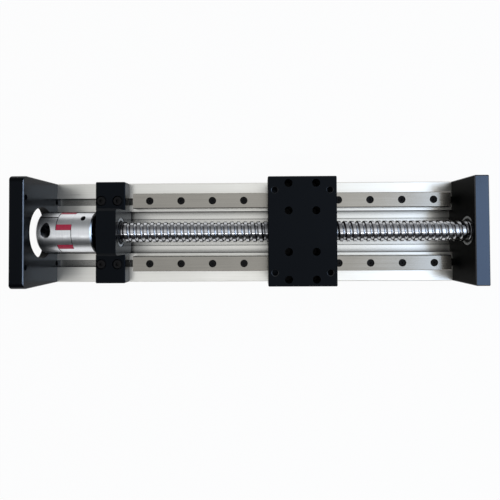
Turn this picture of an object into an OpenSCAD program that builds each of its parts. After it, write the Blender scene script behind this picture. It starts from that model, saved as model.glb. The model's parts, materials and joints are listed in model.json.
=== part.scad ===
// Ball screw linear module: a motor-driven ball screw moves a carriage along two
// profile rails on an extruded aluminium base.
// Millimetres. +X runs along the screw from the motor plate to the end plate, +Y across
// the base and +Z up. The origin is on the underside, at the middle of the bounding box.
// The rotating parts turn about the screw axis and the carriage slides along +X.

/* [Base] */
// Length of the base extrusion between the two plates
base_length = 320; // [318:1:420]
// Width of the base extrusion and of everything that spans it
base_w = 80; // [78:1:86]
// Height of the base extrusion
base_h = 20; // [20:1:30]
// Sideways distance of each rail and its slot from the middle
rail_y = 25; // [25:0.5:27]
// Half width of the channel between the rails
channel_half = 17; // [16:0.5:17.5]
// Depth of the channel between the rails
channel_depth = 5; // [3:0.5:5]

/* [Plates] */
// Thickness of the motor plate
motor_plate_t = 10.5; // [8:0.5:14]
// Thickness of the plate at the free end
end_plate_t = 10.5; // [8:0.5:14]
// Height of the screw axis above the top of the base
axis_above_base = 26; // [26:0.5:30]
// Height of the motor plate above the screw axis
motor_plate_rise = 28.2; // [28:0.1:30]
// Diameter of the recess that centres the motor's pilot boss
pilot_d = 50.2; // [50.1:0.1:50.6]
// Depth of the recess for the pilot boss
pilot_depth = 4.6; // [3.5:0.1:5.5]
// Diameter of the hole behind the recess, around the coupling
plate_bore_d = 39; // [38:0.1:40]
// Side of the square of motor bolt holes
motor_bolt_square = 49.5; // [49:0.1:50]

/* [Screw] */
// Diameter over the thread lands
screw_d = 15.5; // [15:0.1:15.8]
// Travel of the nut for one turn
lead = 5; // [4:0.5:6]
// Diameter of the balls that run in the thread groove
thread_ball_d = 3; // [2.4:0.1:3]
// Facets in one turn of the thread
thread_steps = 16; // [12:1:18]

/* [Rails] */
// Length of each rail
rail_length = 252; // [250:1:260]
// Distance from the motor plate to the start of the rails
rail_start = 64; // [63:0.5:66]
// Width of each rail
rail_w = 12; // [12:0.1:12.5]
// Height of each rail
rail_h = 8; // [7.5:0.1:8]
// Distance between neighbouring rail screws
rail_pitch = 25; // [20:1:25]

/* [Carriage] */
// Distance from the motor plate to the middle of the carriage at rest
carriage_at = 196; // [95:0.5:290]
// Length of the carriage along the screw
carriage_length = 50; // [48:1:54]
// Height of the rail blocks' top faces above the base
block_top = 13; // [13:0.1:14]
// Spacing of the carriage's tapped corner holes along the screw
corner_x = 40; // [38:1:40]
// Spacing of the carriage's tapped corner holes across the screw
corner_y = 60; // [58:1:62]

/* [Coupling] */
// Diameter of the jaw coupling
coupling_d = 30; // [28:0.5:30]
// Length of the jaw coupling
coupling_length = 40.5; // [39:0.5:41]
// Diameter of the motor shaft that the coupling clamps
motor_shaft_d = 14; // [8:0.5:14]
// Thickness of one leg of the elastic spider
spider_leg = 3.9; // [3.5:0.1:4.5]

/* [Hidden] */
$fn = 48;
eps = 0.01;            // overlap that keeps a cut clean
gap = 0.05;            // radial gap between a thread and its tapped hole

// Colours
c_black = [0.09, 0.09, 0.1];
c_alloy = [0.84, 0.85, 0.86];
c_rail = [0.66, 0.65, 0.62];
c_steel = [0.78, 0.79, 0.81];
c_screw_black = [0.14, 0.14, 0.15];
c_spider = [0.74, 0.14, 0.2];
c_plastic = [0.16, 0.17, 0.18];
c_seal = [0.22, 0.22, 0.23];
c_brass = [0.75, 0.62, 0.32];

// Places along the screw
total_length = base_length + motor_plate_t + end_plate_t;
x_motor = -total_length / 2 + motor_plate_t;   // inner face of the motor plate
x_end = x_motor + base_length;                 // inner face of the end plate
x_rail = x_motor + rail_start;
x_carriage = x_motor + carriage_at;
rail_holes = floor((rail_length - 2 * 8) / rail_pitch) + 1;
rail_margin = (rail_length - (rail_holes - 1) * rail_pitch) / 2;

// Heights
axis_z = base_h + axis_above_base;
motor_plate_h = axis_z + motor_plate_rise;
boss_top_above_axis = 14;
end_plate_h = axis_z + boss_top_above_axis;
rail_top = base_h + rail_h;
carriage_bottom = base_h + block_top;
carriage_top = axis_z + boss_top_above_axis;

// Slots of the base extrusion
edge_break = 0.6;      // chamfer along the outer edges of machined parts
top_slot = [5.8, 2, 9.8, 4];         // mouth width, lip, inner width, inner height
under_slot = [6.2, 2.4, 11.6, 4.2];
side_slot = [4.2, 1.4, 6.6, 2.2];
channel_step = [11, 1.2];            // half width and depth of the step in the channel
end_screw_y = [-33, -10, 10, 33];    // screws that hold the plates to the base
end_screw_z = base_h / 2 - 1;
hollow_y = 15.7;                     // hollows inside the extrusion
hollow_w = 3;
hollow_h = base_h - channel_depth - 7;
hollow_floor = 3;
middle_hollow_half = 5.5;
m5_r = 2.5;
m5_tapped_r = 2.1;
m5_head = [8.5, 5];                  // head diameter and height
m5_counterbore = [9.4, 5.4];

// Rail and its screws
m3_r = 1.5;
m3_head = [5.5, 3];
rail_counterbore = [6, 4.5];
rail_groove_r = 0.9;                 // ball track in the rail's flanks
strip_length = rail_length - 6;

// Bearings: 10 x 22 x 6 deep groove, a pair at the motor end and one at the free end
bearing_id = 10;
bearing_od = 22;
bearing_w = 6;
bearing_ball_d = 3;
bearing_balls = 10;
bearing_ring_t = 1.95;               // wall of the inner and outer rings
bearing_chamfer = 0.3;
bearing_gap = 0.02;                  // between the two bearings of the pair
bearing_pitch_r = (bearing_id + bearing_od) / 4;

// Bearing housing
wing_x = [x_motor + 35.5, x_motor + 58.9];
wing_h = 12;
boss_x = [x_motor + 45.8, x_motor + 60.3];
boss_half_w = 17.3;
boss_chamfer = 2;
housing_lip_d = 17;                  // hole in the lip behind the bearings
bearing_recess = 0.3;                // bearings sit this far inside their seats
x_fixed = boss_x[1] - bearing_recess - 2 * bearing_w - bearing_gap;    // start of the pair
m4_r = 2;
m4_head = [7, 4];
housing_counterbore = [8, 4.6];
housing_screw_x = [wing_x[0] + 4.3, wing_x[1] - 6.2];

// Ball screw
shoulder_x = boss_x[1] - bearing_recess;     // shoulder that the inner rings rest on
thread_x = [shoulder_x + 3, x_end - 1.6];
screw_r = screw_d / 2;
groove_half_w = 1.45;
groove_r = screw_r - 1.15;
thread_turns = ceil((thread_x[1] - thread_x[0]) / lead) + 2;
thread_phase = 93.6;                 // turns the thread about the axis, degrees
run_out = 0.2;                       // thread nearer than this to its end runs out
journal_r = bearing_id / 2;
shaft_end_r = 4;
nut_thread_r = 4.9;
x_lock_nut = x_motor + 42.9;
x_end_bearing = x_end + bearing_recess;
x_journal_end = x_end_bearing + bearing_w + 2.2;
x_shaft_tip = x_motor + 28.1;        // tip of the shaft end inside the coupling

// Coupling
coupling_gap = 2;                    // motor plate to coupling
x_coupling = x_motor + coupling_gap;
coupling_r = coupling_d / 2;
jaw_zone = 11.7;                     // length of the zone where the jaws interlock
hub_length = (coupling_length - jaw_zone) / 2;
x_jaws = x_coupling + hub_length;
jaw_tip_gap = 0.5;
jaw_count = 3;
leg_half = asin(spider_leg / 2 / coupling_r);        // half angle of a spider leg
leg_angle = 14.3;                    // first spider leg, from +Z towards +Y
motor_slit_angle = 47.3;
screw_slit_angle = 88.4;
clamp_offset = 10.5;                 // clamp screw to the coupling's axis
clamp_pocket_d = 7.4;
clamp_screw_length = 9;
slit_w = 1;

// Carriage and nut
nut_r = 11;
nut_length = 43;
nut_bore_r = screw_r + 0.4;
wiper_length = 3;
belly = [11, 4];                     // half width and depth of the part between the blocks
carriage_hole_x = 10;
block_hole_y = 10;
carriage_counterbore = [6, carriage_top - carriage_bottom - 3.5];
corner_hole_r = 2.1;
corner_hole_depth = 12;

// Rail blocks: 27 wide, 45.4 long
block_w = 27;
block_steel_length = 32.4;
block_cap_length = 5.7;
block_seal_length = 0.8;
block_lift = 3;                      // bottom of the block above the base
block_gap = 0.4;                     // clearance around the rail

// Extrudes a Y-Z outline along +X
module along_x(length) {
    rotate([90, 0, 90]) linear_extrude(height = length) children();
}

// Turns a shape made about +Z so that it lies about +X, at the screw axis
module on_axis(x) {
    translate([x, 0, axis_z]) rotate([0, 90, 0]) children();
}

// Rectangle with chamfered corners, centred
module chamfered_rect(w, h, c) {
    polygon([[-w / 2 + c, -h / 2], [w / 2 - c, -h / 2], [w / 2, -h / 2 + c], [w / 2, h / 2 - c],
        [w / 2 - c, h / 2], [-w / 2 + c, h / 2], [-w / 2, h / 2 - c], [-w / 2, -h / 2 + c]]);
}

// Block between two corners with all twelve edges chamfered
module chamfered_block(low, high, c = edge_break) {
    size = high - low;
    translate((low + high) / 2) intersection() {
        translate([0, 0, -size[2] / 2]) linear_extrude(height = size[2])
            chamfered_rect(size[0], size[1], c);
        translate([-size[0] / 2, 0, 0]) along_x(size[0]) chamfered_rect(size[1], size[2], c);
        translate([0, size[1] / 2, 0]) rotate([90, 0, 0]) linear_extrude(height = size[1])
            chamfered_rect(size[0], size[2], c);
    }
}

// T-slot outline with its mouth at y = 0, opening towards +Y
module t_slot(slot) {
    translate([-slot[0] / 2, -slot[1] - eps]) square([slot[0], slot[1] + 1]);
    translate([-slot[2] / 2, -slot[1] - slot[3]]) square([slot[2], slot[3]]);
}

// Socket head cap screw about Z: the head stands on z = 0 and the shank hangs below
module cap_screw(r, head, length, socket) {
    difference() {
        union() {
            cylinder(r = head[0] / 2, h = head[1] - 0.3);
            translate([0, 0, head[1] - 0.3])
                cylinder(r1 = head[0] / 2, r2 = head[0] / 2 - 0.3, h = 0.3);
            translate([0, 0, -length]) cylinder(r = r - gap, h = length + eps);
        }
        translate([0, 0, head[1] / 2]) cylinder(d = socket / cos(30), h = head[1], $fn = 6);
    }
}

// ---- Base ----

module base_outline() {
    difference() {
        translate([0, base_h / 2]) chamfered_rect(base_w, base_h, edge_break);
        translate([-channel_half, base_h - channel_depth]) square([2 * channel_half, base_h]);
        translate([-channel_step[0], base_h - channel_depth - channel_step[1]])
            square([2 * channel_step[0], base_h]);
        for (side = [-1, 1]) {
            translate([side * rail_y, base_h]) t_slot(top_slot);
            translate([side * rail_y, 0]) mirror([0, 1]) t_slot(under_slot);
            translate([side * base_w / 2, base_h / 2]) rotate(-side * 90) t_slot(side_slot);
            translate([side * hollow_y - hollow_w / 2, hollow_floor])
                square([hollow_w, hollow_h]);
        }
        for (y = end_screw_y) translate([y, end_screw_z]) circle(r = m5_r);
        translate([-middle_hollow_half, hollow_floor])
            square([2 * middle_hollow_half, hollow_h]);
    }
}

module base_profile() {
    color(c_alloy) translate([x_motor, 0, 0]) along_x(base_length) base_outline();
}

// Places its children, made about +Z, at the four plate screws of one end
module at_plate_screws(x, turn) {
    for (y = end_screw_y) translate([x, y, end_screw_z]) rotate([0, turn, 0]) children();
}

module plate_screw_holes(x_outer, turn, thickness) {
    at_plate_screws(x_outer, turn) {
        translate([0, 0, -m5_counterbore[1]]) cylinder(d = m5_counterbore[0], h = m5_counterbore[1] + 1);
        translate([0, 0, -thickness - 1]) cylinder(r = m5_r + 0.25, h = thickness + 2);
    }
}

module motor_plate() {
    corner_r = 5;
    color(c_black) difference() {
        intersection() {
            chamfered_block([x_motor - motor_plate_t, -base_w / 2, 0],
                [x_motor, base_w / 2, motor_plate_h]);
            translate([x_motor - motor_plate_t, 0, 0]) along_x(motor_plate_t) union() {
                translate([-base_w / 2, 0]) square([base_w, motor_plate_h - corner_r]);
                translate([-base_w / 2 + corner_r, 0])
                    square([base_w - 2 * corner_r, motor_plate_h]);
                for (side = [-1, 1])
                    translate([side * (base_w / 2 - corner_r), motor_plate_h - corner_r])
                        circle(r = corner_r);
            }
        }
        on_axis(x_motor - motor_plate_t - 1) {
            cylinder(d = pilot_d, h = pilot_depth + 1);
            cylinder(d = plate_bore_d, h = motor_plate_t + 2);
        }
        for (y = [-1, 1], z = [-1, 1])
            translate([x_motor - motor_plate_t - 1, y * motor_bolt_square / 2,
                    axis_z + z * motor_bolt_square / 2])
                rotate([0, 90, 0]) cylinder(r = m5_tapped_r, h = motor_plate_t + 2);
        plate_screw_holes(x_motor - motor_plate_t, -90, motor_plate_t);
    }
}

module end_plate() {
    color(c_black) difference() {
        chamfered_block([x_end, -base_w / 2, 0], [x_end + end_plate_t, base_w / 2, end_plate_h]);
        on_axis(x_end - 1) cylinder(d = bearing_od, h = bearing_recess + bearing_w + 1);
        on_axis(x_end) cylinder(d = bearing_od - 5, h = end_plate_t + 1);
        plate_screw_holes(x_end + end_plate_t, 90, end_plate_t);
    }
}

module plate_screws(x_outer, turn, thickness) {
    color(c_screw_black) at_plate_screws(x_outer, turn)
        translate([0, 0, -m5_counterbore[1]])
            cap_screw(m5_r, m5_head, thickness - m5_counterbore[1] + 12, 4);
}

module motor_plate_screws() {
    plate_screws(x_motor - motor_plate_t, -90, motor_plate_t);
}

module end_plate_screws() {
    plate_screws(x_end + end_plate_t, 90, end_plate_t);
}

// ---- Rails ----

module rail_outline() {
    top_chamfer = 0.5;
    difference() {
        polygon([[-rail_w / 2, 0], [rail_w / 2, 0], [rail_w / 2, rail_h - top_chamfer],
            [rail_w / 2 - top_chamfer, rail_h], [-rail_w / 2 + top_chamfer, rail_h],
            [-rail_w / 2, rail_h - top_chamfer]]);
        for (side = [-1, 1])
            translate([side * (rail_w / 2 + 0.3), rail_h * 0.62]) circle(r = rail_groove_r);
    }
}

// Places its children at every rail screw of one rail, at the given height
module at_rail_screws(side, z) {
    for (i = [0 : rail_holes - 1])
        translate([x_rail + rail_margin + i * rail_pitch, side * rail_y, z]) children();
}

module rail(side) {
    color(c_rail) difference() {
        translate([x_rail, side * rail_y, base_h]) along_x(rail_length) rail_outline();
        at_rail_screws(side, rail_top - rail_counterbore[1])
            cylinder(d = rail_counterbore[0], h = rail_counterbore[1] + 1);
        at_rail_screws(side, base_h - 1) cylinder(r = m3_r + 0.25, h = rail_h);
    }
}

module rail_front() { rail(-1); }

module rail_back() { rail(1); }

module rail_screws(side) {
    reach = rail_h - rail_counterbore[1] + top_slot[1] + 3.2;
    color(c_screw_black) at_rail_screws(side, rail_top - rail_counterbore[1])
        cap_screw(m3_r, m3_head, reach, 2.5);
}

module rail_front_screws() { rail_screws(-1); }

module rail_back_screws() { rail_screws(1); }

module rail_nut_strip(side) {
    strip = [strip_length, top_slot[2] - 0.6, 3.4];
    strip_top = base_h - top_slot[1] - 0.05;
    color(c_steel) difference() {
        translate([x_rail + (rail_length - strip[0]) / 2, side * rail_y - strip[1] / 2,
            strip_top - strip[2]]) cube(strip);
        at_rail_screws(side, 0) cylinder(r = m3_r, h = base_h);
    }
}

module rail_front_nut_strip() { rail_nut_strip(-1); }

module rail_back_nut_strip() { rail_nut_strip(1); }

// ---- Bearing housing at the motor end ----

module at_housing_screws(z) {
    for (x = housing_screw_x, side = [-1, 1]) translate([x, side * rail_y, z]) children();
}

module bearing_housing() {
    wing_top = base_h + wing_h;
    color(c_black) difference() {
        union() {
            difference() {
                chamfered_block([wing_x[0], -base_w / 2, base_h], [wing_x[1], base_w / 2, wing_top]);
                translate([wing_x[0] - 1, -boss_half_w, base_h + 8])
                    cube([boss_x[0] - wing_x[0] + 1.5, 2 * boss_half_w, wing_h]);
            }
            translate([boss_x[0], 0, 0]) along_x(boss_x[1] - boss_x[0])
                polygon([[-boss_half_w, base_h], [boss_half_w, base_h],
                    [boss_half_w, carriage_top - boss_chamfer],
                    [boss_half_w - boss_chamfer, carriage_top],
                    [-boss_half_w + boss_chamfer, carriage_top],
                    [-boss_half_w, carriage_top - boss_chamfer]]);
        }
        on_axis(x_fixed) cylinder(d = bearing_od, h = 2 * bearing_w + 1);
        on_axis(boss_x[0] - 1) cylinder(d = housing_lip_d, h = bearing_w);
        at_housing_screws(wing_top - housing_counterbore[1])
            cylinder(d = housing_counterbore[0], h = housing_counterbore[1] + 1);
        at_housing_screws(base_h - 1) cylinder(r = m4_r + 0.25, h = wing_h);
    }
}

module housing_screws() {
    color(c_screw_black) at_housing_screws(base_h + wing_h - housing_counterbore[1])
        cap_screw(m4_r, m4_head, wing_h - housing_counterbore[1] + top_slot[1] + 3.4, 3);
}

module housing_slot_nuts() {
    size = [9, top_slot[2] - 0.6, 3.4];
    nut_top = base_h - top_slot[1] - 0.05;
    color(c_steel) at_housing_screws(nut_top - size[2]) difference() {
        translate([-size[0] / 2, -size[1] / 2, 0]) cube(size);
        translate([0, 0, -1]) cylinder(r = m4_r, h = size[2] + 2);
    }
}

// ---- Bearings ----

module outer_ring() {
    rotate_extrude($fn = 64) difference() {
        translate([(bearing_od - bearing_ring_t) / 2, bearing_w / 2])
            chamfered_rect(bearing_ring_t, bearing_w, bearing_chamfer);
        translate([bearing_pitch_r, bearing_w / 2]) circle(d = bearing_ball_d + 0.2);
    }
}

module inner_ring() {
    rotate_extrude($fn = 64) difference() {
        translate([(bearing_id + bearing_ring_t) / 2, bearing_w / 2])
            chamfered_rect(bearing_ring_t, bearing_w, bearing_chamfer);
        translate([bearing_pitch_r, bearing_w / 2]) circle(d = bearing_ball_d + 0.1);
    }
}

module ball_row() {
    for (i = [0 : bearing_balls - 1]) rotate([0, 0, i * 360 / bearing_balls])
        translate([bearing_pitch_r, 0, bearing_w / 2]) sphere(d = bearing_ball_d);
}

module shield_pair() {
    shield_t = 0.3;
    for (z = [0.25, bearing_w - 0.25 - shield_t]) translate([0, 0, z])
        difference() {
            cylinder(r = bearing_od / 2 - bearing_ring_t, h = shield_t);
            translate([0, 0, -1]) cylinder(r = bearing_id / 2 + bearing_ring_t + 0.2, h = 3);
        }
}

module at_fixed_bearings() {
    for (i = [0, 1]) on_axis(x_fixed + i * (bearing_w + bearing_gap)) children();
}

module fixed_bearing_outer_rings() { color(c_steel) at_fixed_bearings() outer_ring(); }

module fixed_bearing_inner_rings() { color(c_steel) at_fixed_bearings() inner_ring(); }

module fixed_bearing_balls() { color(c_steel) at_fixed_bearings() ball_row(); }

module fixed_bearing_shields() { color(c_seal) at_fixed_bearings() shield_pair(); }

module end_bearing_outer_ring() { color(c_steel) on_axis(x_end_bearing) outer_ring(); }

module end_bearing_inner_ring() { color(c_steel) on_axis(x_end_bearing) inner_ring(); }

module end_bearing_balls() { color(c_steel) on_axis(x_end_bearing) ball_row(); }

module end_bearing_shields() { color(c_seal) on_axis(x_end_bearing) shield_pair(); }

// ---- Ball screw ----

// One pitch of the thread, as [distance along the axis, radius]: a land, then a ball groove
thread_profile = [
    [0, screw_r],
    [lead - 2 * groove_half_w, screw_r],
    [lead - 1.45 * groove_half_w, groove_r],
    [lead - 0.55 * groove_half_w, groove_r]];

// Rings of the shaft below and above the thread, as [place along the axis, radius]
low_rings = [[x_shaft_tip, shaft_end_r], [x_lock_nut, shaft_end_r],
    [x_lock_nut, nut_thread_r], [x_fixed, nut_thread_r],
    [x_fixed, journal_r], [shoulder_x, journal_r],
    [shoulder_x, screw_r], [thread_x[0], screw_r]];
high_rings = [[thread_x[1], journal_r], [x_journal_end, journal_r]];
rings = concat(low_rings, high_rings);

function ring_point(ring, i) = ring * thread_steps + i % thread_steps;

function thread_z(i, j) = thread_x[0] - lead + thread_profile[j][0] + lead * i / thread_steps;

// Number of profile point j in row i. Point len(thread_profile) is the first one of the next
// turn, and what lies past an end of the thread runs out onto the shaft's ring there.
function thread_point(i, j) = let (n = len(thread_profile))
    j == n ? thread_point(i + thread_steps, 0)
    : thread_z(i, j) < thread_x[0] + run_out ? ring_point(len(low_rings) - 1, i)
    : thread_z(i, j) > thread_x[1] - run_out ? ring_point(len(low_rings), i)
    : len(rings) * thread_steps + i * n + j;

// Two triangles between four points, without those that shrink to a line
function patch(p, q, r, s) = [for (f = [[p, q, r], [r, q, s]])
    if (f[0] != f[1] && f[1] != f[2] && f[2] != f[0]) f];

function ring_band(ring) = [for (i = [0 : thread_steps - 1])
    each patch(ring_point(ring, i), ring_point(ring + 1, i),
        ring_point(ring, i + 1), ring_point(ring + 1, i + 1))];

// The whole screw about +Z with its right-handed ball thread. Row i holds the thread's
// profile at angle i, so neighbouring turns share their edges.
module threaded_shaft() {
    n = len(thread_profile);
    rows = thread_turns * thread_steps;
    ring_points = [for (ring = rings, i = [0 : thread_steps - 1])
        let (angle = 360 * i / thread_steps)
        [ring[1] * cos(angle), ring[1] * sin(angle), ring[0]]];
    row_points = [for (i = [0 : rows], j = [0 : n - 1])
        let (angle = 360 * i / thread_steps, r = thread_profile[j][1])
        [r * cos(angle), r * sin(angle), thread_z(i, j)]];
    thread = [for (i = [0 : rows - 1], j = [0 : n - 1])
        each patch(thread_point(i, j), thread_point(i, j + 1),
            thread_point(i + 1, j), thread_point(i + 1, j + 1))];
    low_shaft = [for (ring = [0 : len(low_rings) - 2]) each ring_band(ring)];
    high_shaft = [for (ring = [len(low_rings) : len(rings) - 2]) each ring_band(ring)];
    ends = [[for (i = [0 : thread_steps - 1]) ring_point(0, i)],
        [for (i = [thread_steps - 1 : -1 : 0]) ring_point(len(rings) - 1, i)]];
    polyhedron(points = concat(ring_points, row_points),
        faces = concat(thread, low_shaft, high_shaft, ends));
}

module ball_screw() {
    color(c_steel) on_axis(0) rotate([0, 0, thread_phase]) threaded_shaft();
}

module lock_nut() {
    nose = [housing_lip_d / 2 - 0.6, x_fixed - boss_x[0]];   // reaches the inner ring
    body = [8.8, boss_x[0] - 0.3 - x_lock_nut];
    slots = 4;
    color(c_screw_black) on_axis(x_lock_nut) difference() {
        union() {
            cylinder(r = body[0], h = body[1]);
            cylinder(r = nose[0], h = x_fixed - x_lock_nut);
        }
        translate([0, 0, -1]) cylinder(r = nut_thread_r + gap, h = nose[1] + body[1] + 3);
        for (i = [0 : slots - 1]) rotate([0, 0, i * 360 / slots])
            translate([body[0] - 1.2, -1.3, -1]) cube([3, 2.6, body[1] + 1.2]);
    }
}

module end_circlip() {
    ring_t = 1;
    color(c_screw_black) on_axis(x_end_bearing + bearing_w + 0.05) difference() {
        cylinder(r = journal_r + 1.7, h = ring_t);
        translate([0, 0, -1]) cylinder(r = journal_r, h = ring_t + 2);
        translate([-1.5, journal_r - 1, -1]) cube([3, 5, ring_t + 2]);
    }
}

// ---- Jaw coupling ----

// Turns children made about +Z from angle 0 to an angle measured from the module's top.
// On the screw axis, +X of the child lies along -Z and +Y along +Y.
module at_angle(angle) {
    rotate([0, 0, 180 - angle]) children();
}

// Sector of a ring about +Z, half_angle to each side of +X, from z = low to z = high
module sector(half_angle, inner_r, outer_r, low, high) {
    rotate([0, 0, -half_angle]) rotate_extrude(angle = 2 * half_angle)
        translate([inner_r, low]) square([outer_r - inner_r, high - low]);
}

// Clamp hub about +Z: its free end is at z = 0, its jaws point up and one of its gaps is
// about +X. slit_turn is the angle from that gap to the clamp slit.
module clamp_hub(bore_r, slit_turn) {
    rim = 1;
    jaw_inner_r = 7.2;
    exit_hole_r = 1.7;               // far end of the tapped hole, past the screw's tip
    jaw_half = 30 - leg_half - 0.4;
    difference() {
        union() {
            rotate_extrude() polygon([[bore_r, 0], [coupling_r - rim, 0], [coupling_r, rim],
                [coupling_r, hub_length], [bore_r, hub_length]]);
            for (i = [0 : jaw_count - 1]) rotate([0, 0, 60 + i * 360 / jaw_count])
                sector(jaw_half, jaw_inner_r, coupling_r - 0.05, hub_length - 1,
                    hub_length + jaw_zone - jaw_tip_gap);
        }
        rotate([0, 0, slit_turn]) {
            translate([0, -slit_w / 2, -1]) cube([2 * coupling_r, slit_w, hub_length + 2]);
            at_clamp_screw() {
                cylinder(d = clamp_pocket_d, h = coupling_r);
                translate([0, 0, -clamp_screw_length - 0.5])
                    cylinder(r = m4_r + gap, h = coupling_r);
                translate([0, 0, -coupling_r]) cylinder(r = exit_hole_r, h = coupling_r);
            }
        }
    }
}

// Seat of the clamp screw's head in a hub whose slit is about +X, with +Z towards the head
module at_clamp_screw() {
    seat = 2;
    translate([clamp_offset, seat, hub_length / 2]) rotate([-90, 0, 0]) children();
}

module coupling_motor_hub() {
    gap_angle = leg_angle + 30;
    color(c_alloy) on_axis(x_coupling) at_angle(gap_angle)
        clamp_hub(motor_shaft_d / 2, gap_angle - motor_slit_angle);
}

// The hub on the screw is turned end for end, so its angles count the other way
module coupling_screw_hub() {
    gap_angle = 30 - leg_angle;
    color(c_alloy) on_axis(x_coupling + coupling_length) rotate([180, 0, 0])
        at_angle(gap_angle) clamp_hub(shaft_end_r + 0.02, gap_angle + screw_slit_angle);
}

module coupling_spider() {
    ring = [4.6, 7];                 // inner and outer radius of the middle of the spider
    play = 0.25;
    color(c_spider) on_axis(x_jaws) difference() {
        union() {
            translate([0, 0, play]) cylinder(r = ring[1], h = jaw_zone - 2 * play);
            for (i = [0 : 2 * jaw_count - 1]) at_angle(leg_angle + i * 180 / jaw_count)
                sector(leg_half, ring[1] - 0.5, coupling_r - 0.4, play, jaw_zone - play);
        }
        cylinder(r = ring[0], h = jaw_zone);
    }
}

module coupling_clamp_screws() {
    color(c_screw_black) {
        on_axis(x_coupling) at_angle(motor_slit_angle) at_clamp_screw()
            cap_screw(m4_r, m4_head, clamp_screw_length, 3);
        on_axis(x_coupling + coupling_length) rotate([180, 0, 0])
            at_angle(-screw_slit_angle) at_clamp_screw() cap_screw(m4_r, m4_head, clamp_screw_length, 3);
    }
}

// ---- Carriage ----

// Places its children at the eight screws that hold the rail blocks
module at_block_screws(z) {
    for (x = [-1, 1], side = [-1, 1], y = [-1, 1])
        translate([x_carriage + x * carriage_hole_x, side * rail_y + y * block_hole_y, z])
            children();
}

module at_corner_holes(z) {
    for (x = [-1, 1], y = [-1, 1])
        translate([x_carriage + x * corner_x / 2, y * corner_y / 2, z]) children();
}

module at_nut_set_screws() {
    for (x = [-1, 1])
        translate([x_carriage + x * nut_length / 4, 0, carriage_bottom - belly[1]]) children();
}

module carriage_body() {
    x0 = x_carriage - carriage_length / 2;
    color(c_black) difference() {
        union() {
            chamfered_block([x0, -base_w / 2, carriage_bottom],
                [x0 + carriage_length, base_w / 2, carriage_top]);
            translate([x0 + 1, -belly[0], carriage_bottom - belly[1]])
                cube([carriage_length - 2, 2 * belly[0], belly[1] + 1]);
        }
        on_axis(x0 - 1) cylinder(r = nut_r, h = carriage_length + 2);
        at_block_screws(carriage_top - carriage_counterbore[1])
            cylinder(d = carriage_counterbore[0], h = carriage_counterbore[1] + 1);
        at_block_screws(carriage_bottom - 1) cylinder(r = m3_r + 0.2, h = carriage_counterbore[1]);
        at_corner_holes(carriage_top - corner_hole_depth) {
            cylinder(r = corner_hole_r, h = corner_hole_depth + 1);
            translate([0, 0, corner_hole_depth - 0.5])
                cylinder(r1 = corner_hole_r, r2 = corner_hole_r + 0.6, h = 0.6);
        }
        at_nut_set_screws() translate([0, 0, -1]) cylinder(r = m4_r, h = axis_z - carriage_bottom);
    }
}

module ball_nut() {
    color(c_steel) on_axis(x_carriage - nut_length / 2) difference() {
        cylinder(r = nut_r, h = nut_length);
        translate([0, 0, -1]) cylinder(r = nut_bore_r, h = nut_length + 2);
    }
}

module nut_wipers() {
    color(c_plastic) for (side = [0, 1])
        on_axis(x_carriage - nut_length / 2 - wiper_length + side * (nut_length + wiper_length))
            difference() {
                cylinder(r = nut_r, h = wiper_length);
                translate([0, 0, -1]) cylinder(r = screw_r + 0.3, h = wiper_length + 2);
            }
}

module nut_set_screws() {
    reach = axis_z - nut_r - carriage_bottom + belly[1];
    color(c_screw_black) at_nut_set_screws() difference() {
        translate([0, 0, 0.3]) cylinder(r = m4_r - gap, h = reach - 0.35);
        cylinder(d = 2 / cos(30), h = 2.3, $fn = 6);
    }
}

// Y-Z outline of a rail block about the middle of its rail, from the top of the base
module block_outline(w, low, high) {
    corner = 1;
    half_slot = rail_w / 2 + block_gap;
    difference() {
        translate([0, (low + high) / 2]) chamfered_rect(w, high - low, corner);
        translate([-half_slot, -1]) square([2 * half_slot, rail_h + block_gap + 1]);
    }
}

module rail_block(side) {
    color(c_steel) difference() {
        translate([x_carriage - block_steel_length / 2, side * rail_y, base_h])
            along_x(block_steel_length) block_outline(block_w, block_lift, block_top);
        for (x = [-1, 1], y = [-1, 1])
            translate([x_carriage + x * carriage_hole_x, side * rail_y + y * block_hole_y,
                    carriage_bottom - 3.6])
                cylinder(r = m3_r, h = 5);
    }
}

module rail_block_front() { rail_block(-1); }

module rail_block_back() { rail_block(1); }

// Places its children at both ends of a rail block; z runs outwards from the given distance
module at_block_ends(side, distance) {
    for (end = [0, 1]) translate([x_carriage, side * rail_y, base_h]) mirror([end, 0, 0])
        translate([distance, 0, 0]) children();
}

module block_end_caps(side) {
    color(c_plastic) at_block_ends(side, block_steel_length / 2)
        along_x(block_cap_length) block_outline(block_w - 0.8, block_lift + 0.3, block_top - 0.5);
}

module block_end_caps_front() { block_end_caps(-1); }

module block_end_caps_back() { block_end_caps(1); }

module block_end_seals(side) {
    color(c_seal) at_block_ends(side, block_steel_length / 2 + block_cap_length)
        along_x(block_seal_length) block_outline(block_w - 2, block_lift + 0.6, block_top - 1);
}

module block_end_seals_front() { block_end_seals(-1); }

module block_end_seals_back() { block_end_seals(1); }

module block_screws() {
    color(c_screw_black) at_block_screws(carriage_top - carriage_counterbore[1])
        cap_screw(m3_r, m3_head, carriage_top - carriage_counterbore[1] - carriage_bottom + 3.2, 2.5);
}

module grease_nipples() {
    x_cap = block_steel_length / 2 + block_cap_length + block_seal_length;
    for (side = [-1, 1]) color(c_brass) translate([x_carriage - x_cap, side * rail_y,
            base_h + block_top - 2.4]) rotate([0, -90, 0]) {
        cylinder(r = 1, h = 1.2);
        cylinder(r = 0.7, h = 2);
    }
}

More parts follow.
